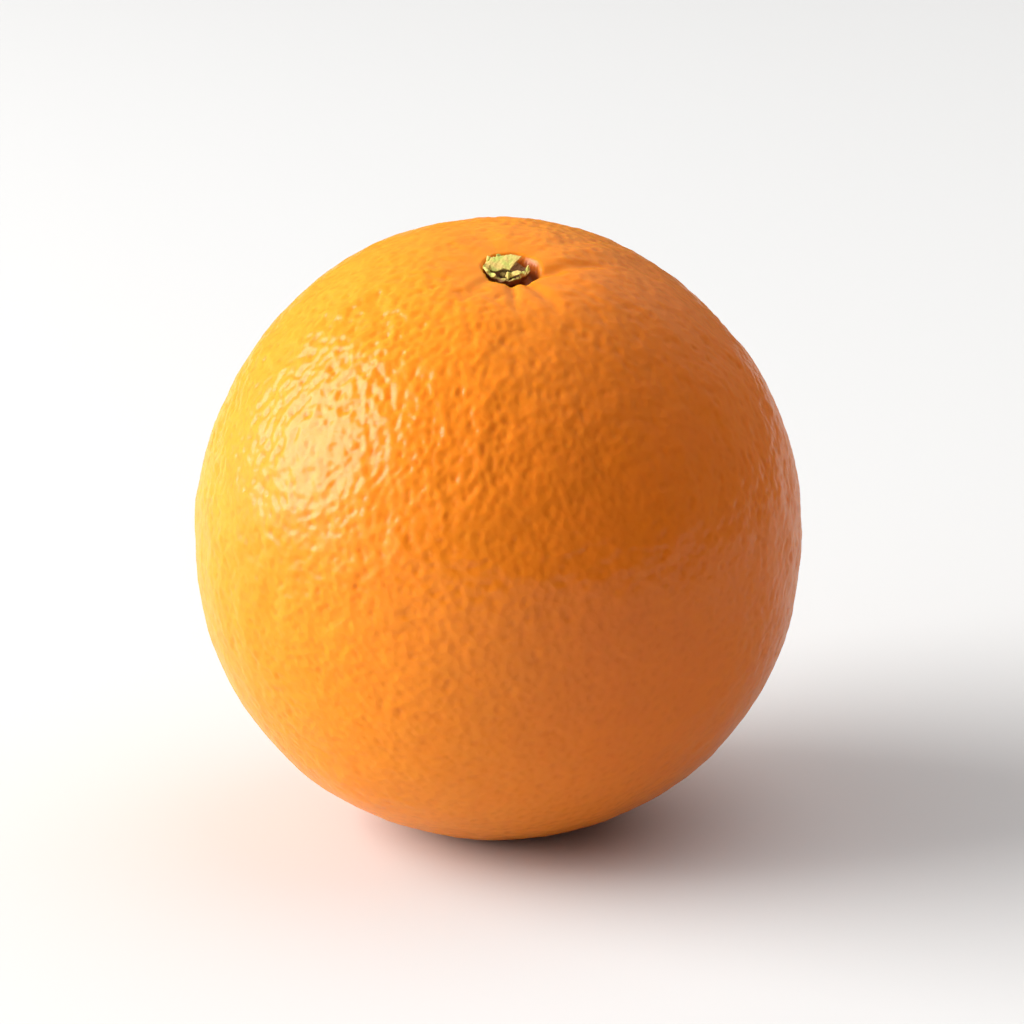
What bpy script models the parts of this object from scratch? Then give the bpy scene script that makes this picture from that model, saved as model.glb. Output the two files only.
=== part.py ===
"""A whole sweet orange standing on the small flat spot under it, stem end up, with its button.

Metres, +Z up. The origin is on the resting spot, under the middle of the fruit. The flat spot is not
straight under the stem, so the core leans forward, towards -Y, as the fruit stands.
Three pieces: the fruit itself, the calyx in its stem pit, and the stalk's dry stub in the calyx.
"""

import math

import bmesh
import bpy
from mathutils import Matrix, Vector

MM = 0.001

# The whole fruit: a ball that is a little taller than wide, fuller below its middle than above it
EQUATOR_RADIUS = 39.0 * MM
POLES_STAND_OUT = 0.28 * MM  # how much longer the radius is at the poles
FULLER_BELOW = 0.60 * MM  # hips over shoulders: how much longer the radius is 45 degrees down than up
SQUARER = 0.28 * MM  # fills the outline halfway between the equator and each pole
OVAL = 0.50 * MM  # the equator is a slight oval, longest towards OVAL_WAY
OVAL_WAY = math.radians(97)
THREE_SIDED = 0.42 * MM  # and slightly three-sided, with one corner towards CORNER_WAY
CORNER_WAY = math.radians(-22)
CORE_LEAN = math.radians(14.3)  # how far the core's stem end leans from upright as the fruit stands
CORE_LEAN_WAY = math.radians(-82)

# The stem pit, sunk in a wide shallow dip, with pleats that run out of it over the shoulder
DIP_DEPTH = 0.9 * MM
DIP_REACH = 7.0 * MM
PIT_DEPTH = 2.6 * MM
PIT_FLOOR_RADIUS = 3.3 * MM
PIT_RIM_RADIUS = 4.9 * MM
FLOOR_FACE_RADIUS = 3.0 * MM  # edge of the level face in the middle of the pit's floor
PLEATS = 11
PLEAT_DEPTH = 0.16 * MM
PLEAT_REACH = 6.0 * MM

# The flat spot that the fruit stands on
FOOT_CUT = 0.82 * MM  # how much the bottom of the ball is flattened
FOOT_ROUNDING = 0.25 * MM  # height over which the flat turns into the side
FOOT_FLAT_RADIUS = 6.0 * MM

# Fineness of the fruit's faces
SIDES = 56
FIRST_RING_STEP = 0.35 * MM
RING_GROWTH = 1.16
LAST_RING_ANGLE = math.radians(4.5)

# The calyx: a small cup of five torn sepals, standing on the pit's floor
SEAT_GAP = 0.3 * MM
CALYX_BASE_RADIUS = 2.4 * MM
CALYX_RADIUS = 2.85 * MM
CALYX_WALL = 0.55 * MM
CALYX_HEIGHT = 2.1 * MM
CALYX_FLOOR = 0.7 * MM
SEPALS = 5
SEPAL_SPREAD = 0.22 * MM
SEPAL_RISE = 0.25 * MM
CALYX_SIDES = 40

# The stub of the stalk, broken off inside the calyx
STUB_RADIUS = 1.05 * MM
STUB_HEIGHT = 0.85 * MM
STUB_BREAK = 0.25 * MM  # how much higher one side of the break is than the other
STUB_SIDES = 20


def clear_scene():
    for thing in list(bpy.data.objects):
        bpy.data.objects.remove(thing, do_unlink=True)


def make_material(name, color, roughness):
    material = bpy.data.materials.new(name)
    material.use_nodes = True
    shader = material.node_tree.nodes["Principled BSDF"]
    shader.inputs["Base Color"].default_value = (*color, 1.0)
    shader.inputs["Roughness"].default_value = roughness
    shader.inputs["Metallic"].default_value = 0.0
    return material


def ease(start, end, value):
    """0 before start, 1 after end, and a smooth rise between them."""
    share = min(max((value - start) / (end - start), 0.0), 1.0)
    return share * share * (3.0 - 2.0 * share)


def ball_radius(direction):
    """Distance from the ball's middle to its skin, before the pit and the foot are made."""
    up = direction.z
    out = math.hypot(direction.x, direction.y)
    around = math.atan2(direction.y, direction.x)
    radius = EQUATOR_RADIUS + POLES_STAND_OUT * up**2 - FULLER_BELOW * up * out
    radius += SQUARER * (2.0 * up * out) ** 2
    radius += OVAL * out**2 * math.cos(2.0 * (around - OVAL_WAY))
    radius += THREE_SIDED * out**3 * math.cos(3.0 * (around - CORNER_WAY))
    return radius


def stem_sink(away, around):
    """How far the skin is sunk near the stem: dip, pit and pleats."""
    dip = DIP_DEPTH * math.exp(-((away / DIP_REACH) ** 2))
    pit = PIT_DEPTH * (1.0 - ease(PIT_FLOOR_RADIUS, PIT_RIM_RADIUS, away))
    pleat_fade = ease(PIT_FLOOR_RADIUS, PIT_RIM_RADIUS, away) * math.exp(
        -(((away - PIT_RIM_RADIUS) / PLEAT_REACH) ** 2)
    )
    pleat = PLEAT_DEPTH * pleat_fade * (1.0 + math.cos(PLEATS * around))
    return dip + pit + pleat


def foot_height(height):
    """Height over the resting spot, with the bottom flattened and its edge rounded."""
    if height <= -FOOT_ROUNDING:
        return 0.0
    if height < FOOT_ROUNDING:
        return (height + FOOT_ROUNDING) ** 2 / (4.0 * FOOT_ROUNDING)
    return height


def lean(share):
    """The turn that leans an upright core by that share of its full lean, or back if it is negative."""
    axis = Vector((-math.sin(CORE_LEAN_WAY), math.cos(CORE_LEAN_WAY), 0.0))
    return Matrix.Rotation(CORE_LEAN * share, 3, axis)


def grown_point(angle, around):
    """Point of the skin, from the ball's middle, with the core upright as the fruit grew.

    The angle counts from the stem. Rings centre on the stem at the top and on the flat spot below.
    """
    ring = Vector(
        (
            math.sin(angle) * math.cos(around),
            math.sin(angle) * math.sin(around),
            math.cos(angle),
        )
    )
    below = (1.0 - math.cos(angle)) / 2.0
    direction = lean(-below) @ ring
    point = direction * ball_radius(direction)
    if point.z > 0.0:
        point.z -= stem_sink(math.hypot(point.x, point.y), math.atan2(point.y, point.x))
    return point


def middle_height():
    """Height of the ball's middle over the resting spot."""
    return ball_radius(lean(-1.0) @ Vector((0.0, 0.0, -1.0))) - FOOT_CUT


def standing_point(grown):
    """Where a grown point is when the fruit leans and stands on its flat spot."""
    point = lean(1.0) @ grown
    point.z = foot_height(point.z + middle_height())
    return point


def ring_angles():
    """Angles of the rings, close together at the pit and wider over the sides."""
    last = math.pi - math.asin(FOOT_FLAT_RADIUS / middle_height())
    step = FIRST_RING_STEP / EQUATOR_RADIUS
    angle = FLOOR_FACE_RADIUS / EQUATOR_RADIUS
    angles = []
    while angle < last - step / 2.0:
        angles.append(angle)
        angle += step
        step = min(step * RING_GROWTH, LAST_RING_ANGLE)
    return angles + [last]


def centring_move(points):
    """The sideways move that puts the middle of the fruit's outline over the origin."""
    xs = [point.x for point in points]
    ys = [point.y for point in points]
    return Vector((-(min(xs) + max(xs)) / 2.0, -(min(ys) + max(ys)) / 2.0, 0.0))


def closed_from_rings(rings):
    """A closed mesh from rings of points, the first and last of them filled by a flat face."""
    mesh = bmesh.new()
    rows = [[mesh.verts.new(point) for point in ring] for ring in rings]
    count = len(rows[0])
    for upper, lower in zip(rows, rows[1:]):
        for i in range(count):
            j = (i + 1) % count
            mesh.faces.new((upper[i], lower[i], lower[j], upper[j]))
    mesh.faces.new(rows[0])
    mesh.faces.new(list(reversed(rows[-1])))
    bmesh.ops.recalc_face_normals(mesh, faces=mesh.faces)
    return mesh


def make_piece(name, mesh, material, sharp_angle):
    data = bpy.data.meshes.new(name)
    mesh.to_mesh(data)
    mesh.free()
    data.materials.append(material)
    data.shade_smooth()
    data.set_sharp_from_angle(angle=sharp_angle)
    piece = bpy.data.objects.new(name, data)
    bpy.context.collection.objects.link(piece)
    return piece


def turn(count):
    return [math.tau * i / count for i in range(count)]


def make_fruit():
    """The fruit. Returns the middle of its stem pit's floor."""
    grown = [[grown_point(angle, around) for around in turn(SIDES)] for angle in ring_angles()]
    floor_height = sum(point.z for point in grown[0]) / SIDES
    for point in grown[0]:  # the pit's floor is level across, so that one flat face fills it
        point.z = floor_height
    rings = [[standing_point(point) for point in ring] for ring in grown]
    move = centring_move([point for ring in rings for point in ring])
    rings = [[point + move for point in ring] for ring in rings]
    rind = make_material("orange_rind", (0.83, 0.28, 0.03), 0.42)
    make_piece("fruit", closed_from_rings(rings), rind, math.radians(40))
    return standing_point(Vector((0.0, 0.0, floor_height))) + move


def make_calyx(seat):
    """A cup turned from outside to inside, its upper edge drawn out into sepals."""
    outline = (
        (CALYX_BASE_RADIUS, 0.0, 0.0),
        (CALYX_RADIUS - SEPAL_SPREAD, CALYX_HEIGHT * 0.45, 0.3),
        (CALYX_RADIUS, CALYX_HEIGHT, 1.0),
        (CALYX_RADIUS - CALYX_WALL, CALYX_HEIGHT * 0.93, 1.0),
        (CALYX_RADIUS - CALYX_WALL - SEPAL_SPREAD, CALYX_FLOOR * 1.3, 0.2),
        (CALYX_BASE_RADIUS - CALYX_WALL, CALYX_FLOOR, 0.0),
    )
    rings = []
    for radius, height, lobed in outline:
        ring = []
        for around in turn(CALYX_SIDES):
            lobe = lobed * math.cos(SEPALS * around)
            reach = radius + SEPAL_SPREAD * lobe
            rise = height + SEPAL_RISE * lobe
            upright = Vector((reach * math.cos(around), reach * math.sin(around), rise))
            ring.append(seat + lean(1.0) @ upright)
        rings.append(ring)
    green = make_material("dried_calyx", (0.42, 0.47, 0.12), 0.75)
    make_piece("calyx", closed_from_rings(rings), green, math.radians(50))


def make_stub(seat):
    """A short round stub, rounded at its foot and broken off at a slant."""
    outline = (
        (STUB_RADIUS * 0.85, 0.0, 0.0),
        (STUB_RADIUS, STUB_HEIGHT * 0.25, 0.2),
        (STUB_RADIUS * 0.96, STUB_HEIGHT * 0.8, 0.8),
        (STUB_RADIUS * 0.78, STUB_HEIGHT, 1.0),
    )
    rings = []
    for radius, height, slanted in outline:
        ring = []
        for around in turn(STUB_SIDES):
            rise = height + slanted * STUB_BREAK / 2.0 * math.cos(around)
            upright = Vector((radius * math.cos(around), radius * math.sin(around), rise))
            ring.append(seat + lean(1.0) @ upright)
        rings.append(ring)
    brown = make_material("dry_stalk", (0.16, 0.11, 0.05), 0.8)
    make_piece("stem_stub", closed_from_rings(rings), brown, math.radians(40))


clear_scene()
pit_floor = make_fruit()
calyx_seat = pit_floor + lean(1.0) @ Vector((0.0, 0.0, SEAT_GAP))
make_calyx(calyx_seat)
make_stub(calyx_seat + lean(1.0) @ Vector((0.0, 0.0, CALYX_FLOOR + SEAT_GAP)))
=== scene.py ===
"""A whole sweet orange, stem end up, standing on its own flat spot on white paper beside a soft box.

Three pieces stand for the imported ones: the rind with its oil glands and stem pit, the torn dry calyx in
the pit, and the stalk's broken stub in the calyx. Metres, +Z up.

Near the stem, away is the distance from the core's axis and around is the direction round it, from +X
towards +Y, with the core upright as the fruit grew. The front is -Y.
"""

import math

import bmesh
import bpy
import numpy as np
from mathutils import Matrix, Vector, kdtree, noise


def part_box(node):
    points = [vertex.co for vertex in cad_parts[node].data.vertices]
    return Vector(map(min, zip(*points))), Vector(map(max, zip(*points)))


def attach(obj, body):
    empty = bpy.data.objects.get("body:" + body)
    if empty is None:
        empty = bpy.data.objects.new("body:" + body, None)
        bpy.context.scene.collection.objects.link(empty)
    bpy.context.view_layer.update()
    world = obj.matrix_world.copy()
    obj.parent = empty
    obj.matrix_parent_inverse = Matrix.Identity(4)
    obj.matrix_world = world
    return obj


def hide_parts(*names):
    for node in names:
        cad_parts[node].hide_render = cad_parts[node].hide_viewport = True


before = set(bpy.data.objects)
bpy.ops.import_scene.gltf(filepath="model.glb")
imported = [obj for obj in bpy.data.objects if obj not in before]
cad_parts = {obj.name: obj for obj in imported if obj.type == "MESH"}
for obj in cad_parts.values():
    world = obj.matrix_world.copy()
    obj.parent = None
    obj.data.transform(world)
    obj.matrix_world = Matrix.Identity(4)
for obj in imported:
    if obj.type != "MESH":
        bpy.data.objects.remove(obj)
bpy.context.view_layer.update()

MM = 0.001

# The fruit's outline and how it leans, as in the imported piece
EQUATOR_RADIUS = 39.0 * MM
POLES_STAND_OUT = 0.28 * MM  # how much longer the radius is at the poles
FULLER_BELOW = 0.60 * MM  # hips over shoulders: how much longer the radius is 45 degrees down than up
SQUARER = 0.28 * MM  # fills the outline halfway between the equator and each pole
OVAL = 0.50 * MM  # the equator is a slight oval, longest towards OVAL_WAY
OVAL_WAY = math.radians(97)
THREE_SIDED = 0.42 * MM  # and slightly three-sided, with one corner towards CORNER_WAY
CORNER_WAY = math.radians(-22)
CORE_LEAN = math.radians(14.3)  # how far the core's stem end leans from upright as the fruit stands
CORE_LEAN_WAY = math.radians(-82)
FOOT_CUT = 0.82 * MM  # how much the bottom of the ball is flattened
FOOT_ROUNDING = 0.25 * MM  # height over which the flat turns into the side

# The dip round the stem and the pit in it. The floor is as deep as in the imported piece, under a lower rim.
DIP_DEPTH = 1.45 * MM
DIP_REACH = 7.0 * MM
PIT_DEPTH = 2.05 * MM
SLUMP = 0.35 * MM  # how much lower the rim is in front
SLUMP_WAY = math.radians(-78)
SLUMP_SPREAD = math.radians(62)
SLUMP_FADES = (4.5 * MM, 11.0 * MM)
SEAT_UNDER_MIDDLE = 1.17 * MM  # from the calyx's base to the middle of its box, along the core

# The rind's relief
RIND_GRID = 182  # squares along each side of the six patches, 0.34 mm each
GLAND_SPACING = 1.12 * MM
GLAND_RADIUS = 0.39 * MM
GLAND_DEPTH = 0.105 * MM
GLAND_STRENGTHS = (0.45, 1.25)  # the weakest and the strongest gland
DARK_GLAND = 1.02  # glands stronger than this have a darker bottom
LONG_GLANDS_WAY = math.radians(-45)  # where the glands near the stem are most drawn out
PEBBLES = ((1.4, 0.065, 7), (2.6, 0.10, 2))  # size and height in mm, and a seed for where they are
SWELLS = (5.5, 0.18, 3)
LUMPS = (15.0, 0.28, 5)
WRINKLE_DEPTH = 0.18 * MM
WRINKLED_WAY = math.radians(12)  # the shoulder with the long wrinkles
COARSE_WAY = np.array([-0.51, -0.48, 0.71])  # the side where the rind is pebbled most
COARSER = 0.75  # how much deeper its relief is
SCAR_DEPTH = 0.35 * MM  # the flower's scar, under the fruit
SHADE_SIDE_WAY = np.array([0.89, -0.38, 0.14])  # the side turned away from the key light, painted a deeper, redder orange as painted shade


def ease(start, end, value):
    """0 before start, 1 after end, and a smooth rise between them."""
    share = np.clip((value - start) / (end - start), 0.0, 1.0)
    return share * share * (3.0 - 2.0 * share)


def bell(value, middle, width):
    return np.exp(-(((value - middle) / width) ** 2))


def angle_apart(a, b):
    """Smallest angle between two directions round the stem."""
    return np.abs((a - b + math.pi) % math.tau - math.pi)


def swell(points, size, seed):
    """Smooth uneven lumps of about that size, from -1 to 1, at each point."""
    move = Vector((seed * 17.3, seed * 5.1, seed * 9.7))
    return np.array([noise.noise(Vector(point) / size + move) for point in points])


# The fruit's shape

LEAN_AXIS = Vector((-math.sin(CORE_LEAN_WAY), math.cos(CORE_LEAN_WAY), 0.0))
LEAN = np.array(Matrix.Rotation(CORE_LEAN, 3, LEAN_AXIS))  # turns the upright core to how it leans


def ball_radius(direction):
    """Distance from the ball's middle to its skin along each direction, the core upright."""
    up = direction[:, 2]
    out = np.hypot(direction[:, 0], direction[:, 1])
    around = np.arctan2(direction[:, 1], direction[:, 0])
    radius = EQUATOR_RADIUS + POLES_STAND_OUT * up**2 - FULLER_BELOW * up * out
    radius += SQUARER * (2.0 * up * out) ** 2
    radius += OVAL * out**2 * np.cos(2.0 * (around - OVAL_WAY))
    radius += THREE_SIDED * out**3 * np.cos(3.0 * (around - CORNER_WAY))
    return radius


STRAIGHT_DOWN = np.array([[0.0, 0.0, -1.0]]) @ LEAN
MIDDLE_HEIGHT = float(ball_radius(STRAIGHT_DOWN)[0]) - FOOT_CUT


# Furrows that run out of the stem pit: direction and how far it turns on the way, both in degrees, then
# depth, width and reach in millimetres
FURROWS = (
    (-20, 40, 0.58, 1.5, 12.0),
    (44, 6, 0.20, 1.5, 15.0),
    (72, 0, 0.14, 1.6, 12.0),
    (-36, 8, 0.16, 1.3, 12.0),
    (-57, 0, 0.42, 0.8, 6.0),
    (-83, 0, 0.40, 0.7, 6.0),
    (-125, 0, 0.30, 1.1, 7.0),
    (-152, 0, 0.16, 1.6, 11.0),
    (172, 0, 0.22, 1.8, 12.0),
    (146, 0, 0.16, 1.5, 12.0),
    (110, 0, 0.14, 1.5, 11.0),
)

FURROW_STARTS = 2.6 * MM
FURROW_FULL = 4.4 * MM  # distance from the axis where a furrow has its full depth
FURROW_TURNS_OVER = 3.5 * MM
FURROW_FULL_WIDTH = 9.8 * MM  # distance from the axis where it has its full width

# The pit's shape round the stem: direction in degrees, then where its wall starts and where its rim is, in
# millimetres from the axis. The wall is close behind the calyx and on its left, and leaves a gap in front
# and on the right.
PIT_ROUND = (
    (-180, 2.6, 3.2),
    (-145, 2.7, 3.4),
    (-115, 3.1, 4.2),
    (-80, 3.2, 4.7),
    (-50, 3.3, 4.8),
    (-15, 3.2, 4.5),
    (25, 2.8, 4.1),
    (90, 2.6, 3.2),
    (150, 2.6, 3.1),
    (180, 2.6, 3.2),
)


def furrow_sink(away, around):
    """Depth of the furrows at each place, widening and fading as they leave the pit."""
    sink = np.zeros(len(away))
    past = np.maximum(away - FURROW_FULL, 0.0)
    for way, turn, depth, width, reach in FURROWS:
        middle = np.radians(way + turn * (1.0 - np.exp(-past / FURROW_TURNS_OVER)))
        across = angle_apart(around, middle) * away
        spread = width * MM * (0.55 + 0.45 * away / FURROW_FULL_WIDTH)
        along = ease(FURROW_STARTS, FURROW_FULL, away) * bell(past, 0.0, reach * MM)
        sink += depth * MM * along * bell(across, 0.0, spread)
    return sink


def stem_sink(away, around):
    """How far the skin is sunk near the stem, by the dip, the pit, its slumped rim and the furrows.

    Also gives how far into the pit each place is, from 0 outside its rim to 1 on its floor.
    """
    ways, starts, rims = zip(*PIT_ROUND)
    start = np.interp(np.degrees(around), ways, starts) * MM
    rim = np.interp(np.degrees(around), ways, rims) * MM
    dip = DIP_DEPTH * bell(away, 0.0, DIP_REACH)
    pit = PIT_DEPTH * (1.0 - ease(start, rim, away))
    in_front = bell(angle_apart(around, SLUMP_WAY), 0.0, SLUMP_SPREAD)
    slump = SLUMP * in_front * ease(start, rim, away) * (1.0 - ease(*SLUMP_FADES, away))
    return dip + pit + slump + furrow_sink(away, around), pit / PIT_DEPTH


def foot_height(height):
    """Height over the resting spot, with the bottom flattened and its edge rounded."""
    rounded = (height + FOOT_ROUNDING) ** 2 / (4.0 * FOOT_ROUNDING)
    low = np.where(height <= -FOOT_ROUNDING, 0.0, rounded)
    return np.where(height < FOOT_ROUNDING, low, height)


def ball_patches(count):
    """Directions, squares and flat map of a ball made of six square patches, with evenly wide squares."""
    turn = np.tan(np.linspace(-math.pi / 4.0, math.pi / 4.0, count + 1))
    across, along = np.meshgrid(turn, turn, indexing="ij")
    frames = (
        ((1, 0, 0), (0, 1, 0), (0, 0, 1)),
        ((0, 1, 0), (1, 0, 0), (0, 0, -1)),
        ((0, 1, 0), (0, 0, 1), (1, 0, 0)),
        ((0, 0, 1), (0, 1, 0), (-1, 0, 0)),
        ((0, 0, 1), (1, 0, 0), (0, 1, 0)),
        ((1, 0, 0), (0, 0, 1), (0, -1, 0)),
    )
    step = np.linspace(0.0, 1.0, count + 1)
    map_across, map_along = np.meshgrid(step, step, indexing="ij")
    corner = np.arange((count + 1) ** 2).reshape(count + 1, count + 1)
    square = np.stack([corner[:-1, :-1], corner[1:, :-1], corner[1:, 1:], corner[:-1, 1:]], -1)
    directions, squares, places = [], [], []
    for patch, (u, v, w) in enumerate(frames):
        grid = across[..., None] * np.array(u) + along[..., None] * np.array(v) + np.array(w)
        directions.append(grid.reshape(-1, 3))
        squares.append(square.reshape(-1, 4) + patch * corner.size)
        place = np.stack([map_across, map_along], -1) * 0.97 + 0.015
        place = (place + np.array([patch % 3, patch // 3])) / np.array([3.0, 2.0])
        places.append(place.reshape(-1, 2))
    directions = np.concatenate(directions)
    directions /= np.linalg.norm(directions, axis=1)[:, None]
    squares = np.concatenate(squares)
    places = np.concatenate(places)[squares.reshape(-1)]
    key = np.round(directions * 1e6).astype(np.int64)
    _, first, merged = np.unique(key, axis=0, return_index=True, return_inverse=True)
    return directions[first], merged.reshape(-1)[squares], places


def sow_glands():
    """Directions and strengths of the oil glands: an even spiral, shaken so that no row shows."""
    area = 4.0 * math.pi * EQUATOR_RADIUS**2
    count = int(area / (GLAND_SPACING**2 * 0.866))  # each gland has the area of a hexagon
    shaken = np.random.default_rng(7)
    index = np.arange(count) + 0.5
    up = 1.0 - 2.0 * index / count
    around = index * math.pi * (3.0 - math.sqrt(5.0))
    out = np.sqrt(1.0 - up**2)
    glands = np.stack([out * np.cos(around), out * np.sin(around), up], -1)
    glands += shaken.normal(0.0, 0.30 * GLAND_SPACING / EQUATOR_RADIUS, glands.shape)
    glands /= np.linalg.norm(glands, axis=1)[:, None]
    return glands, shaken.uniform(*GLAND_STRENGTHS, count)


def gland_pits(direction):
    """How deep each point lies in the oil glands' pits, from 0 to about 1, and in the few dark ones alone.

    Towards the stem the pits are longer than wide.
    """
    glands, strength = sow_glands()
    tree = kdtree.KDTree(len(glands))
    for index, gland in enumerate(glands):
        tree.insert(gland, index)
    tree.balance()
    nearest = 7
    near = np.empty((len(direction), nearest), int)
    for row, point in enumerate(direction):
        near[row] = [found[1] for found in tree.find_n(point, nearest)]
    offset = (glands[near] - direction[:, None, :]) * EQUATOR_RADIUS
    out = np.maximum(np.hypot(direction[:, 0], direction[:, 1]), 1e-4)
    across_way = np.stack([-direction[:, 1] / out, direction[:, 0] / out, np.zeros(len(out))], -1)
    down_way = np.cross(direction, across_way)
    across = np.einsum("ijk,ik->ij", offset, across_way)
    down = np.einsum("ijk,ik->ij", offset, down_way)
    around = np.arctan2(direction[:, 1], direction[:, 0])
    stretched = 0.3 + 0.7 * bell(angle_apart(around, LONG_GLANDS_WAY), 0.0, math.radians(75))
    longer = (1.0 + 0.25 * stretched * ease(0.1, 0.9, direction[:, 2]))[:, None]
    apart = np.hypot(across * np.sqrt(longer), down / longer)
    pit = np.exp(-((apart / GLAND_RADIUS) ** 2)) * strength[near]
    return pit.sum(1), (pit * (strength[near] > DARK_GLAND)).sum(1)


def wrinkles(direction, away, around):
    """Long wrinkles down the right shoulder, from about -1 to 1, which follow the meridians."""
    polar = np.arccos(np.clip(direction[:, 2], -1.0, 1.0))
    rows = np.stack([np.cos(around) * 7.0, np.sin(around) * 7.0, polar * 1.8], -1)
    wave = swell(rows, 1.0, 4) + 0.5 * swell(rows, 0.5, 6)
    side = bell(angle_apart(around, WRINKLED_WAY), 0.0, math.radians(62))
    belt = ease(5.0 * MM, 11.0 * MM, away) * (1.0 - ease(0.95, 1.55, polar))
    return wave * belt * (0.10 + 0.90 * side)


def add_mark(data, name, value):
    """Gives each point of a mesh a value that its material reads by that name."""
    data.attributes.new(name, "FLOAT", "POINT").data.foreach_set("value", value.astype(np.float32))


def bumps(direction, kind):
    """Height of one kind of swelling in the rind, along each direction."""
    size, height, seed = kind
    return height * MM * swell(direction, size * MM / EQUATOR_RADIUS, seed)


def make_rind():
    """The whole fruit's skin: relief, pit, furrows, foot and scar, and the marks that its material reads."""
    direction, squares, places = ball_patches(RIND_GRID)
    point = direction * ball_radius(direction)[:, None]
    away = np.hypot(point[:, 0], point[:, 1])
    around = np.arctan2(point[:, 1], point[:, 0])
    top = direction[:, 2] > 0.0
    open_skin = np.where(top, ease(4.2 * MM, 7.5 * MM, away), 1.0)
    gland, dark = gland_pits(direction)
    patchy = 0.85 + 0.35 * swell(direction, 0.45, 1)
    stronger_above = 0.60 + 0.40 * ease(-0.45, 0.15, direction[:, 2])
    relief = -GLAND_DEPTH * gland * patchy * stronger_above
    for pebbles in PEBBLES:
        relief += bumps(direction, pebbles) * stronger_above
    relief *= 1.0 + COARSER * ease(0.70, 0.97, direction @ COARSE_WAY)
    relief += bumps(direction, SWELLS) * stronger_above
    relief += bumps(direction, LUMPS)
    relief *= 0.25 + 0.75 * open_skin
    relief += WRINKLE_DEPTH * wrinkles(direction, away, around)
    point += direction * relief[:, None]
    sink, pit = stem_sink(away, around)
    point[:, 2] -= np.where(top, sink, 0.0)
    point[:, 2] += np.where(top, 0.0, SCAR_DEPTH * (1.0 - ease(0.8 * MM, 2.2 * MM, away)))
    point = point @ LEAN.T
    point[:, 2] = foot_height(point[:, 2] + MIDDLE_HEIGHT)
    low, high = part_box("fruit")
    middle = (point.min(0) + point.max(0)) / 2.0
    point[:, :2] += np.array([(low.x + high.x) / 2.0, (low.y + high.y) / 2.0]) - middle[:2]

    data = bpy.data.meshes.new("rind")
    data.from_pydata(point.tolist(), [], squares.tolist())
    data.shade_smooth()
    chart = data.uv_layers.new(name="OFBake")
    chart.uv.foreach_set("vector", places.reshape(-1))
    marks = {
        "gland": np.clip(gland, 0.0, 1.0) * open_skin,
        "dark_gland": np.clip(dark, 0.0, 1.0) * open_skin,
        "pebbled": stronger_above * np.where(top, ease(5.0 * MM, 20.0 * MM, away), 1.0),
        # the stem pit's red brown, partly the rind's own colour there and partly painted shade of the recess
        "pit": np.where(top, ease(0.02, 0.4, pit), 0.0),
        "scar": np.where(top, 0.0, 1.0 - ease(1.1 * MM, 1.9 * MM, away)),
        # painted shade: how far each point faces the side turned away from the key light
        "painted_shade_side": ease(-0.1, 0.85, direction @ SHADE_SIDE_WAY),
    }
    for name, value in marks.items():
        add_mark(data, name, value)
    rind = bpy.data.objects.new("rind", data)
    bpy.context.scene.collection.objects.link(rind)
    data.materials.append(waxed_rind())
    return rind


# The calyx, in millimetres in its own upright frame: x right, y back, z up the stalk from the cup's base

# How high the torn cup's wall still stands: direction round the stem in degrees, height
WALL_TOP = (
    (-180, 1.7),
    (-150, 1.25),
    (-112, 0.95),
    (-84, 1.15),
    (-50, 1.3),
    (-20, 1.35),
    (10, 1.1),
    (40, 0.8),
    (70, 0.9),
    (100, 1.4),
    (125, 1.75),
    (155, 1.9),
    (180, 1.7),
)

# Crumbs of torn sepal on the cup's edge: direction, distance out, height of its middle, then the crumb's
# own length round the edge, thickness and height
CRUMBS = (
    (-160, 2.80, 1.40, 1.1, 0.7, 0.8),
    (-138, 2.45, 1.20, 1.3, 0.7, 0.7),
    (-111, 2.50, 1.15, 1.15, 0.85, 1.0),
    (-84, 2.00, 1.45, 1.2, 0.9, 0.9),
    (-60, 2.05, 1.55, 1.2, 0.9, 0.85),
    (-40, 2.40, 1.50, 0.8, 0.7, 0.6),
    (-22, 2.50, 1.85, 0.75, 0.6, 1.3),
    (5, 2.45, 1.35, 0.7, 0.5, 0.5),
    (95, 2.40, 1.60, 0.9, 0.5, 0.5),
    (120, 2.45, 1.85, 0.8, 0.5, 0.7),
    (158, 2.75, 2.05, 0.9, 0.6, 0.8),
    (180, 3.00, 1.60, 0.9, 0.55, 0.9),
)

# The big flake of sepal folded over the cup, sloping up to the back: its corners, to the right and up its
# slope
FLAKE = (
    (-2.25, -0.40),
    (-1.60, -0.70),
    (-0.60, -0.46),
    (0.15, -0.82),
    (0.38, -0.51),
    (0.90, 0.11),
    (1.62, 0.68),
    (0.20, 1.27),
    (-0.65, 1.25),
    (-2.20, 1.27),
    (-2.65, 0.57),
)
FLAKE_HEIGHT = 1.82
FLAKE_SLOPE = math.radians(45)
FLAKE_TILT = 0.25  # how fast it rises to the right
FLAKE_THICKNESS = 0.26
CUP_RADIUS = 2.6
CUP_SIDES = 90
CUP_EDGE_SHAKEN = 0.12  # how much the torn edge goes up and down from one side to the next
CRUMB_POINTS = 11  # corners that a crumb is the hull of

# The stub's outline from its foot to the middle of its break: distance from its own middle, height
STUB_OUTLINE = ((0.80, 0.58), (0.95, 0.70), (0.92, 0.95), (0.62, 1.08), (0.25, 0.98))
STUB_SIDES = 36
STUB_MIDDLE = (-0.1, -0.35)

DRY_FINENESS = 0.065  # size of the cells that the dry pieces are meshed anew from


def ring_mesh(mesh, rings):
    """A closed body from rings of points, its first and last ring filled."""
    rows = [[mesh.verts.new(point) for point in ring] for ring in rings]
    for upper, lower in zip(rows, rows[1:]):
        for i in range(len(upper)):
            j = (i + 1) % len(upper)
            mesh.faces.new((upper[i], lower[i], lower[j], upper[j]))
    mesh.faces.new(rows[0])
    mesh.faces.new(rows[-1])


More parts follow.
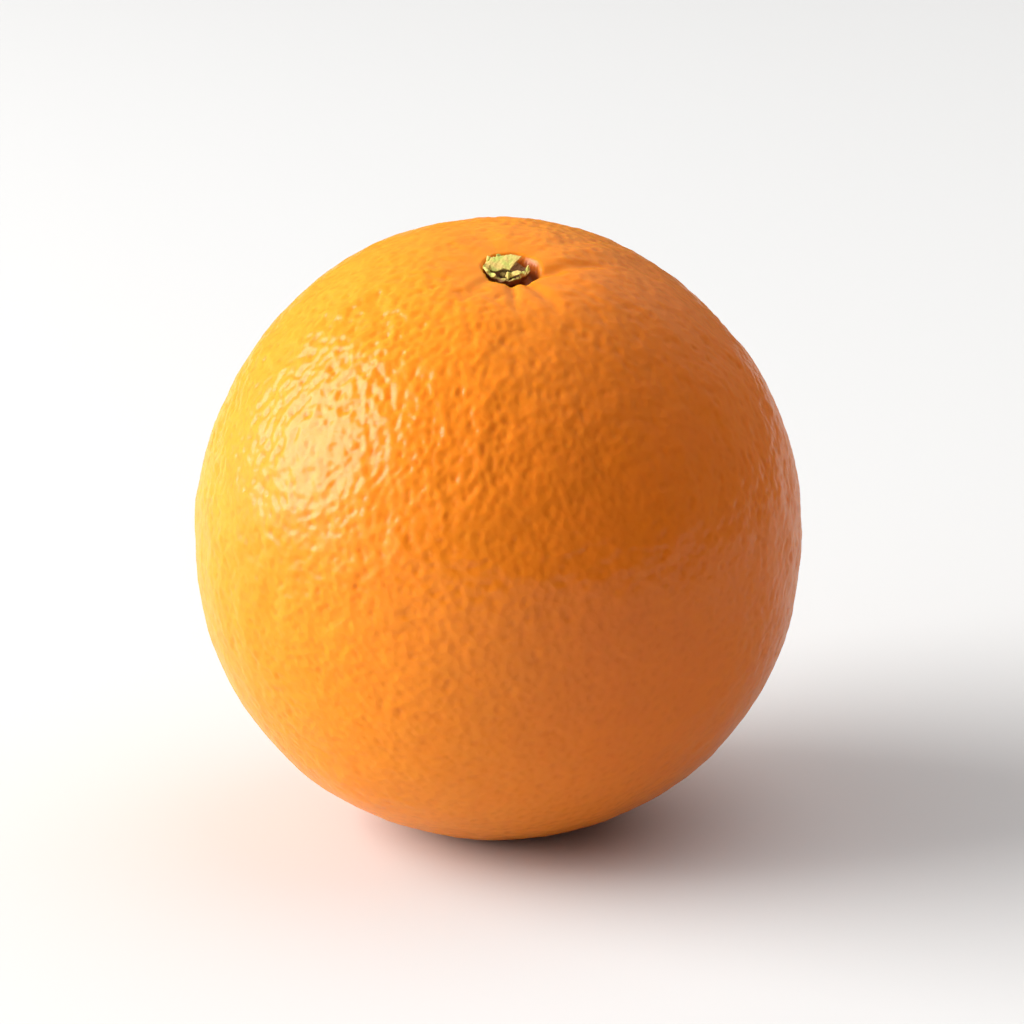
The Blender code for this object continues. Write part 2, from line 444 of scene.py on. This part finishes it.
def add_cup(mesh, shaken):
    """The cup of the calyx: outside, torn edge, inside and floor, a little lobed and bulging to the left."""
    ways, tops = zip(*WALL_TOP)
    rings = [[] for _ in range(6)]
    for i in range(CUP_SIDES):
        around = math.tau * i / CUP_SIDES - math.pi
        top = np.interp(math.degrees(around), ways, tops)
        top += shaken.uniform(-CUP_EDGE_SHAKEN, CUP_EDGE_SHAKEN)
        bulge = 0.10 * math.cos(5.0 * around + 0.5) + 0.05 * math.cos(13.0 * around)
        bulge += 0.35 * float(bell(angle_apart(around, math.radians(175)), 0.0, math.radians(45)))
        outline = (
            (1.9, 0.0),
            (CUP_RADIUS - 0.25 + bulge, top * 0.35),
            (CUP_RADIUS + bulge, top),
            (CUP_RADIUS - 0.45 + bulge, top - 0.05),
            (CUP_RADIUS - 0.75 + bulge, 0.55),
            (1.0, 0.40),
        )
        for ring, (out, height) in zip(rings, outline):
            ring.append((out * math.cos(around), out * math.sin(around), height))
    ring_mesh(mesh, rings)


def add_crumb(mesh, shaken, crumb):
    """An angular crumb: the hull of a few shaken points, its long side round the cup's edge."""
    way, out, height, length, thickness, tall = crumb
    around = math.radians(way)
    outward = Vector((math.cos(around), math.sin(around), 0.0))
    onward = Vector((-math.sin(around), math.cos(around), 0.0))
    middle = outward * out + Vector((0.0, 0.0, height))
    points = []
    for _ in range(CRUMB_POINTS):
        place = Vector(shaken.uniform(-1.0, 1.0, 3))
        place /= max(abs(place.x), abs(place.y), abs(place.z))
        place *= 0.5 * shaken.uniform(0.75, 1.1)
        lean_out = outward * (place.z * tall * 0.45)
        points.append(middle + onward * place.x * length + outward * place.y * thickness + lean_out)
        points[-1].z += place.z * tall
    made = [mesh.verts.new(point) for point in points]
    hull = bmesh.ops.convex_hull(mesh, input=made)
    spare = [part for part in hull["geom_interior"] if isinstance(part, bmesh.types.BMVert)]
    bmesh.ops.delete(mesh, geom=spare, context="VERTS")


def add_flake(mesh):
    """The flake: a plate of even thickness on a slope that faces the front."""
    back, up = math.cos(FLAKE_SLOPE), math.sin(FLAKE_SLOPE)
    rings = []
    for side in (0.5, -0.5):
        ring = []
        for right, along in FLAKE:
            off = side * FLAKE_THICKNESS
            rise = FLAKE_HEIGHT + FLAKE_TILT * (right + 0.5)
            ring.append((right, along * back - off * up, rise + along * up + off * back))
        rings.append(ring)
    ring_mesh(mesh, rings)


def meshed_anew(mesh, cell):
    """The outside of a mesh of closed pieces that run into each other, as one closed skin."""
    bmesh.ops.recalc_face_normals(mesh, faces=mesh.faces)
    data = bpy.data.meshes.new("joined")
    mesh.to_mesh(data)
    mesh.free()
    rough = bpy.data.objects.new("joined", data)
    bpy.context.scene.collection.objects.link(rough)
    join = rough.modifiers.new("join", "REMESH")
    join.mode = "VOXEL"
    join.voxel_size = cell
    seen = rough.evaluated_get(bpy.context.evaluated_depsgraph_get())
    joined = bpy.data.meshes.new_from_object(seen)
    bpy.data.objects.remove(rough, do_unlink=True)
    return joined


def stand_in_pit(data):
    """Moves a mesh from its own upright frame, in millimetres, onto the calyx's seat on the leaning core."""
    low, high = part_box("calyx")
    middle = np.array((low + high) / 2.0)
    place = np.empty(len(data.vertices) * 3)
    data.vertices.foreach_get("co", place)
    place = place.reshape(-1, 3) * MM - np.array([0.0, 0.0, SEAT_UNDER_MIDDLE])
    data.vertices.foreach_set("co", (place @ LEAN.T + middle).reshape(-1))
    data.update()


def roughen(data, size, depth, seed):
    """Pushes each point in or out along its normal by an uneven amount."""
    place = np.empty(len(data.vertices) * 3)
    normal = np.empty(len(data.vertices) * 3)
    data.vertices.foreach_get("co", place)
    data.vertices.foreach_get("normal", normal)
    place = place.reshape(-1, 3)
    place += normal.reshape(-1, 3) * (depth * swell(place, size, seed))[:, None]
    data.vertices.foreach_set("co", place.reshape(-1))
    data.update()


def make_dry_piece(name, data, material):
    """A piece of the button, from a mesh that already stands in the pit."""
    data.name = name
    data.shade_smooth()
    data.materials.clear()
    data.materials.append(material)
    piece = bpy.data.objects.new(name, data)
    bpy.context.scene.collection.objects.link(piece)
    return piece


def make_calyx():
    shaken = np.random.default_rng(21)
    mesh = bmesh.new()
    add_cup(mesh, shaken)
    for crumb in CRUMBS:
        add_crumb(mesh, shaken, crumb)
    add_flake(mesh)
    data = meshed_anew(mesh, DRY_FINENESS)
    roughen(data, 0.8, 0.05, 11)
    roughen(data, 0.3, 0.035, 12)
    height = np.array([vertex.co.z for vertex in data.vertices])
    uneven = np.array([noise.noise(vertex.co * 2.0) for vertex in data.vertices])
    # Pale above and brown below: the brown low in the pit is partly the cup's own outside and partly painted
    # shade.
    add_mark(data, "torn", ease(0.85, 1.35, height + 0.25 * uneven))
    stand_in_pit(data)
    return make_dry_piece("calyx_visual", data, torn_sepal())


def make_stub():
    """The stalk's stub, ridged by its fibres, with a slanting uneven break."""
    shaken = np.random.default_rng(5)
    right, back = STUB_MIDDLE
    rings = []
    for out, height in STUB_OUTLINE:
        ring = []
        for i in range(STUB_SIDES):
            around = math.tau * i / STUB_SIDES
            fibre = 1.0 + 0.07 * math.cos(9.0 * around) + shaken.uniform(-0.03, 0.03)
            broken = 0.06 * math.cos(around + 2.0) + shaken.uniform(-0.05, 0.05)
            rise = height + broken * ease(0.7, 0.9, height)
            reach = out * fibre
            ring.append((reach * math.cos(around) + right, reach * math.sin(around) + back, rise))
        rings.append(ring)
    mesh = bmesh.new()
    ring_mesh(mesh, rings)
    data = meshed_anew(mesh, DRY_FINENESS)
    roughen(data, 0.25, 0.06, 14)
    stand_in_pit(data)
    return make_dry_piece("stub_visual", data, broken_stalk())


# Materials. Each pattern's size is that of the real one, unless it is said to be drawn coarser.

BLUSH_SIZE = 22.0 * MM  # broad patches of riper and less ripe skin
MOTTLE_SIZE = 4.0 * MM  # small patches of deeper skin and of thicker wax
PEBBLE_SIZE = 1.15 * MM  # the skin over each oil gland
PORE_SIZE = 0.45 * MM  # pores of the skin, drawn several times coarser than they are so that they show
SKIN_BUMP = 0.11 * MM  # how high the pebbles and the skin between pores stand
CRUMB_SIZE = 1.1 * MM  # straw and green patches of torn sepal
GRAIN_SIZE = 0.22 * MM  # the sepal's dry cells, drawn coarser than they are so that they show
GRAIN_BUMP = 0.06 * MM
FIBRE_SIZE = 0.2 * MM  # fibres of the stalk


def paint(code):
    """A colour given as an sRGB hex value, in linear light."""
    parts = [int(code[i : i + 2], 16) / 255.0 for i in (1, 3, 5)]
    linear = [p / 12.92 if p <= 0.04045 else ((p + 0.055) / 1.055) ** 2.4 for p in parts]
    return (*linear, 1.0)


def add(tree, kind, settings, sockets, output=0):
    """Adds a node and gives one of its outputs.

    settings are its own values, and sockets its inputs by name or number, as values or other nodes' outputs.
    """
    made = tree.nodes.new(kind)
    for name, value in settings.items():
        setattr(made, name, value)
    for name, value in sockets.items():
        named = [s for s in made.inputs if s.name == name and s.enabled]
        socket = named[0] if named else made.inputs[name]
        if isinstance(value, bpy.types.NodeSocket):
            tree.links.new(value, socket)
        else:
            socket.default_value = value
    shown = [s for s in made.outputs if s.enabled]
    return shown[output] if shown else None


VALUE = 2  # the output of an attribute node that gives its plain value


def new_material(name):
    material = bpy.data.materials.new(name)
    material.use_nodes = True
    tree = material.node_tree
    tree.nodes.clear()
    where = tree.nodes.new("ShaderNodeTexCoord").outputs["Object"]
    return material, tree, where


def finish_material(tree, sockets):
    surface = add(tree, "ShaderNodeBsdfPrincipled", {}, sockets)
    add(tree, "ShaderNodeOutputMaterial", {}, {"Surface": surface})


def waxed_rind():
    """Orange rind, grown and then washed and waxed.

    It gives a warm orange seen through a thin clear wax, with a darker bottom in each oil gland, and light
    that spreads a little under the skin. Painted shade makes it deeper and redder on the side turned away
    from the key light, and red brown down in the stem pit, where it is partly the rind's own duller colour.
    """
    material, tree, where = new_material("waxed_orange_rind")
    blush = add(tree, "ShaderNodeTexNoise", {}, {"Vector": where, "Scale": 1.0 / BLUSH_SIZE, "Detail": 2.0})
    mottle = add(
        tree, "ShaderNodeTexNoise", {},
        {"Vector": where, "Scale": 1.0 / MOTTLE_SIZE, "Detail": 3.0},
    )
    ripe = add(
        tree, "ShaderNodeMix", {"data_type": "RGBA"},
        {"Factor": blush, "A": paint("#E88119"), "B": paint("#EC9021")},
    )
    patchy = add(
        tree, "ShaderNodeMapRange", {},
        {"Value": mottle, "From Min": 0.35, "From Max": 0.75, "To Min": 0.0, "To Max": 0.35},
    )
    # Painted shade: the side turned away from the key light is made a deeper, redder orange.
    painted_shade_side = add(tree, "ShaderNodeAttribute", {"attribute_name": "painted_shade_side"}, {}, VALUE)
    skin = add(
        tree, "ShaderNodeMix", {"data_type": "RGBA"},
        {"Factor": painted_shade_side, "A": ripe, "B": paint("#DC6E1A")},
    )
    skin = add(
        tree, "ShaderNodeMix", {"data_type": "RGBA"},
        {"Factor": patchy, "A": skin, "B": paint("#E2760F")},
    )
    for name, share in (("gland", 0.10), ("dark_gland", 0.14)):
        gland = add(tree, "ShaderNodeAttribute", {"attribute_name": name}, {}, VALUE)
        deep = add(
            tree, "ShaderNodeMapRange", {},
            {"Value": gland, "From Min": 0.2, "From Max": 1.0, "To Min": 0.0, "To Max": share},
        )
        skin = add(
            tree, "ShaderNodeMix", {"data_type": "RGBA"},
            {"Factor": deep, "A": skin, "B": paint("#C86008")},
        )
    # Red brown down in the stem pit: partly the rind's own duller colour there, partly painted shade of the
    # recess.
    pit = add(tree, "ShaderNodeAttribute", {"attribute_name": "pit"}, {}, VALUE)
    skin = add(
        tree, "ShaderNodeMix", {"data_type": "RGBA"},
        {"Factor": pit, "A": skin, "B": paint("#A84E1A")},
    )
    scar = add(tree, "ShaderNodeAttribute", {"attribute_name": "scar"}, {}, VALUE)
    skin = add(
        tree, "ShaderNodeMix", {"data_type": "RGBA"},
        {"Factor": scar, "A": skin, "B": paint("#7A5230")},
    )
    wax = add(
        tree, "ShaderNodeMapRange", {},
        {"Value": mottle, "From Min": 0.3, "From Max": 0.7, "To Min": 0.36, "To Max": 0.46},
    )
    pores = add(tree, "ShaderNodeTexNoise", {}, {"Vector": where, "Scale": 1.0 / PORE_SIZE, "Detail": 2.0})
    cells = add(
        tree, "ShaderNodeTexVoronoi", {"feature": "SMOOTH_F1"},
        {"Vector": where, "Scale": 1.0 / PEBBLE_SIZE, "Smoothness": 0.35},
    )
    pebbled = add(tree, "ShaderNodeAttribute", {"attribute_name": "pebbled"}, {}, VALUE)
    rough = add(tree, "ShaderNodeMath", {"operation": "MULTIPLY_ADD"}, {0: pores, 1: 0.12, 2: cells})
    height = add(tree, "ShaderNodeMath", {"operation": "MULTIPLY"}, {0: rough, 1: pebbled})
    bump = add(tree, "ShaderNodeBump", {}, {"Height": height, "Strength": 1.0, "Distance": SKIN_BUMP})
    finish_material(tree, {
        "Base Color": skin,
        "Roughness": wax,
        "IOR": 1.45,
        "Specular IOR Level": 0.0,
        "Subsurface Weight": 0.3,
        "Subsurface Radius": (1.0, 0.35, 0.1),
        "Subsurface Scale": 3.0 * MM,
        "Coat Weight": 0.52,
        "Coat Roughness": 0.20,
        "Coat IOR": 1.45,
        "Normal": bump,
    })
    return material


def torn_sepal():
    """Sepals of the calyx, dried on the fruit and torn.

    It gives thin matt plant skin, pale straw to yellow green where it is broken open, and brown low down in
    the pit, partly the cup's own browner outside and partly painted shade of the pit's bottom.
    """
    material, tree, where = new_material("dried_torn_sepal")
    crumbs = add(tree, "ShaderNodeTexNoise", {}, {"Vector": where, "Scale": 1.0 / CRUMB_SIZE, "Detail": 1.0})
    grain = add(tree, "ShaderNodeTexNoise", {}, {"Vector": where, "Scale": 1.0 / GRAIN_SIZE, "Detail": 3.0})
    tint = add(
        tree, "ShaderNodeMapRange", {},
        {"Value": crumbs, "From Min": 0.38, "From Max": 0.62, "To Min": 0.0, "To Max": 1.0},
    )
    pale = add(
        tree, "ShaderNodeMix", {"data_type": "RGBA"},
        {"Factor": tint, "A": paint("#CDD76E"), "B": paint("#E9C674")},
    )
    dusty = add(
        tree, "ShaderNodeMapRange", {},
        {"Value": grain, "From Min": 0.35, "From Max": 0.7, "To Min": 0.42, "To Max": 0.0},
    )
    pale = add(
        tree, "ShaderNodeMix", {"data_type": "RGBA"},
        {"Factor": dusty, "A": pale, "B": paint("#AC9A40")},
    )
    # Brown low down in the pit, partly the cup's own outside and partly painted shade of the pit's bottom
    torn = add(tree, "ShaderNodeAttribute", {"attribute_name": "torn"}, {}, VALUE)
    tone = add(
        tree, "ShaderNodeMix", {"data_type": "RGBA"},
        {"Factor": torn, "A": paint("#7C4E26"), "B": pale},
    )
    bump = add(tree, "ShaderNodeBump", {}, {"Height": grain, "Strength": 0.5, "Distance": GRAIN_BUMP})
    finish_material(tree, {"Base Color": tone, "Roughness": 0.75, "IOR": 1.45, "Normal": bump})
    return material


def broken_stalk():
    """The stalk's broken end, dried: dark olive brown wood, matt, with darker fibres."""
    material, tree, where = new_material("dry_broken_stalk")
    fibre = add(tree, "ShaderNodeTexNoise", {}, {"Vector": where, "Scale": 1.0 / FIBRE_SIZE, "Detail": 2.0})
    tone = add(
        tree, "ShaderNodeMix", {"data_type": "RGBA"},
        {"Factor": fibre, "A": paint("#4A340C"), "B": paint("#8E7426")},
    )
    finish_material(tree, {"Base Color": tone, "Roughness": 0.8, "IOR": 1.5})
    return material


def studio_paper():
    """White background paper, matt and evenly lit, which gives the fruit a light floor."""
    material, tree, _ = new_material("white_background_paper")
    finish_material(tree, {"Base Color": paint("#D6D6D6"), "Roughness": 0.9, "Specular IOR Level": 0.2})
    return material


# Stage

# Where the studio's soft light comes from: the way to it, how narrow it is and how strong. The first two are
# the bright walls on the left.
STUDIO_SIDES = (
    ((-0.96, -0.20, 0.20), 8.0, 2.6),
    ((-1.0, 0.0, 0.0), 2.0, 1.6),
    ((0.2, 0.7, 0.7), 6.0, 0.6),
    ((0.0, 0.0, 1.0), 8.0, 0.3),
    ((0.0, -0.75, 0.65), 5.0, 0.18),
    ((0.8, 0.4, 0.4), 3.0, 0.26),
    ((0.95, 0.1, -0.1), 8.0, 0.20),
)


FLOOR_RADIUS = 1.0
CAMERA_ELEVATION = math.radians(17.0)
CAMERA_DISTANCE = 0.634
SEEN_WIDTH = 130.6 * MM  # of what stands at the fruit's middle


def make_floor():
    """A round sheet of paper under the fruit."""
    mesh = bmesh.new()
    bmesh.ops.create_circle(mesh, cap_ends=True, segments=64, radius=FLOOR_RADIUS)
    data = bpy.data.meshes.new("paper")
    mesh.to_mesh(data)
    mesh.free()
    data.materials.append(studio_paper())
    floor = bpy.data.objects.new("paper", data)
    bpy.context.scene.collection.objects.link(floor)


def aim(thing, place, target):
    thing.location = place
    thing.rotation_euler = (Vector(target) - Vector(place)).to_track_quat("-Z", "Y").to_euler()


def soft_box(name, way, distance, size, power, tint):
    """A soft box that looks at the fruit's middle from that direction."""
    lamp = bpy.data.lights.new(name, "AREA")
    lamp.shape = "RECTANGLE"
    lamp.size, lamp.size_y = size
    lamp.energy = power
    lamp.color = paint(tint)[:3]
    box = bpy.data.objects.new(name, lamp)
    bpy.context.scene.collection.objects.link(box)
    middle = Vector((0.0, 0.0, MIDDLE_HEIGHT))
    aim(box, middle + Vector(way).normalized() * distance, middle)
    box.visible_camera = False
    return box


def make_world():
    """A white studio: bright walls on the left, much weaker glows from above, behind, in front and right.

    The camera sees plain white behind the floor.
    """
    world = bpy.data.worlds.new("studio")
    world.use_nodes = True
    tree = world.node_tree
    tree.nodes.clear()
    way = tree.nodes.new("ShaderNodeTexCoord").outputs["Generated"]
    glow = 0.0
    for side, narrow, strength in STUDIO_SIDES:
        facing = add(tree, "ShaderNodeVectorMath", {"operation": "DOT_PRODUCT"}, {0: way, 1: side})
        shown = add(tree, "ShaderNodeMath", {"operation": "MAXIMUM"}, {0: facing, 1: 0.0})
        soft = add(tree, "ShaderNodeMath", {"operation": "POWER"}, {0: shown, 1: narrow})
        glow = add(tree, "ShaderNodeMath", {"operation": "MULTIPLY_ADD"}, {0: soft, 1: strength, 2: glow})
    light = add(tree, "ShaderNodeBackground", {}, {"Color": paint("#FFFFFF"), "Strength": glow})
    seen = add(tree, "ShaderNodeBackground", {}, {"Color": paint("#F6F6F5"), "Strength": 1.0})
    camera_ray = add(tree, "ShaderNodeLightPath", {}, {}, 0)
    both = add(tree, "ShaderNodeMixShader", {}, {0: camera_ray, 1: light, 2: seen})
    add(tree, "ShaderNodeOutputWorld", {}, {"Surface": both})
    bpy.context.scene.world = world


def make_camera():
    lens = bpy.data.cameras.new("camera")
    lens.sensor_width = 36.0
    lens.lens = lens.sensor_width * CAMERA_DISTANCE / SEEN_WIDTH
    camera = bpy.data.objects.new("camera", lens)
    bpy.context.scene.collection.objects.link(camera)
    low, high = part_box("fruit")
    right = Vector((1.0, 0.0, 0.0))
    up = Vector((0.0, math.sin(CAMERA_ELEVATION), math.cos(CAMERA_ELEVATION)))
    back = Vector((0.0, -math.cos(CAMERA_ELEVATION), math.sin(CAMERA_ELEVATION)))
    middle = Vector(((low.x + high.x) / 2.0, (low.y + high.y) / 2.0, MIDDLE_HEIGHT))
    target = middle + right * 1.79 * MM + up * 1.77 * MM
    aim(camera, target + back * CAMERA_DISTANCE, target)
    bpy.context.scene.camera = camera


rind = make_rind()
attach(rind, "root")
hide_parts("fruit")

calyx = make_calyx()
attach(calyx, "root")
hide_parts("calyx")

stub = make_stub()
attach(stub, "root")
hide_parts("stem_stub")

make_floor()
make_world()
soft_box("window_soft_box", (-0.87, -0.04, 0.49), 1.20, (1.05, 0.80), 22.0, "#FFFDFA")
fill = soft_box("overhead_fill", (0.50, 0.15, 1.0), 1.30, (1.60, 1.60), 7.4, "#FFFFFF")
fill.visible_glossy = False  # the wax shows no reflection of it
make_camera()
bpy.context.scene.view_settings.view_transform = "Standard"
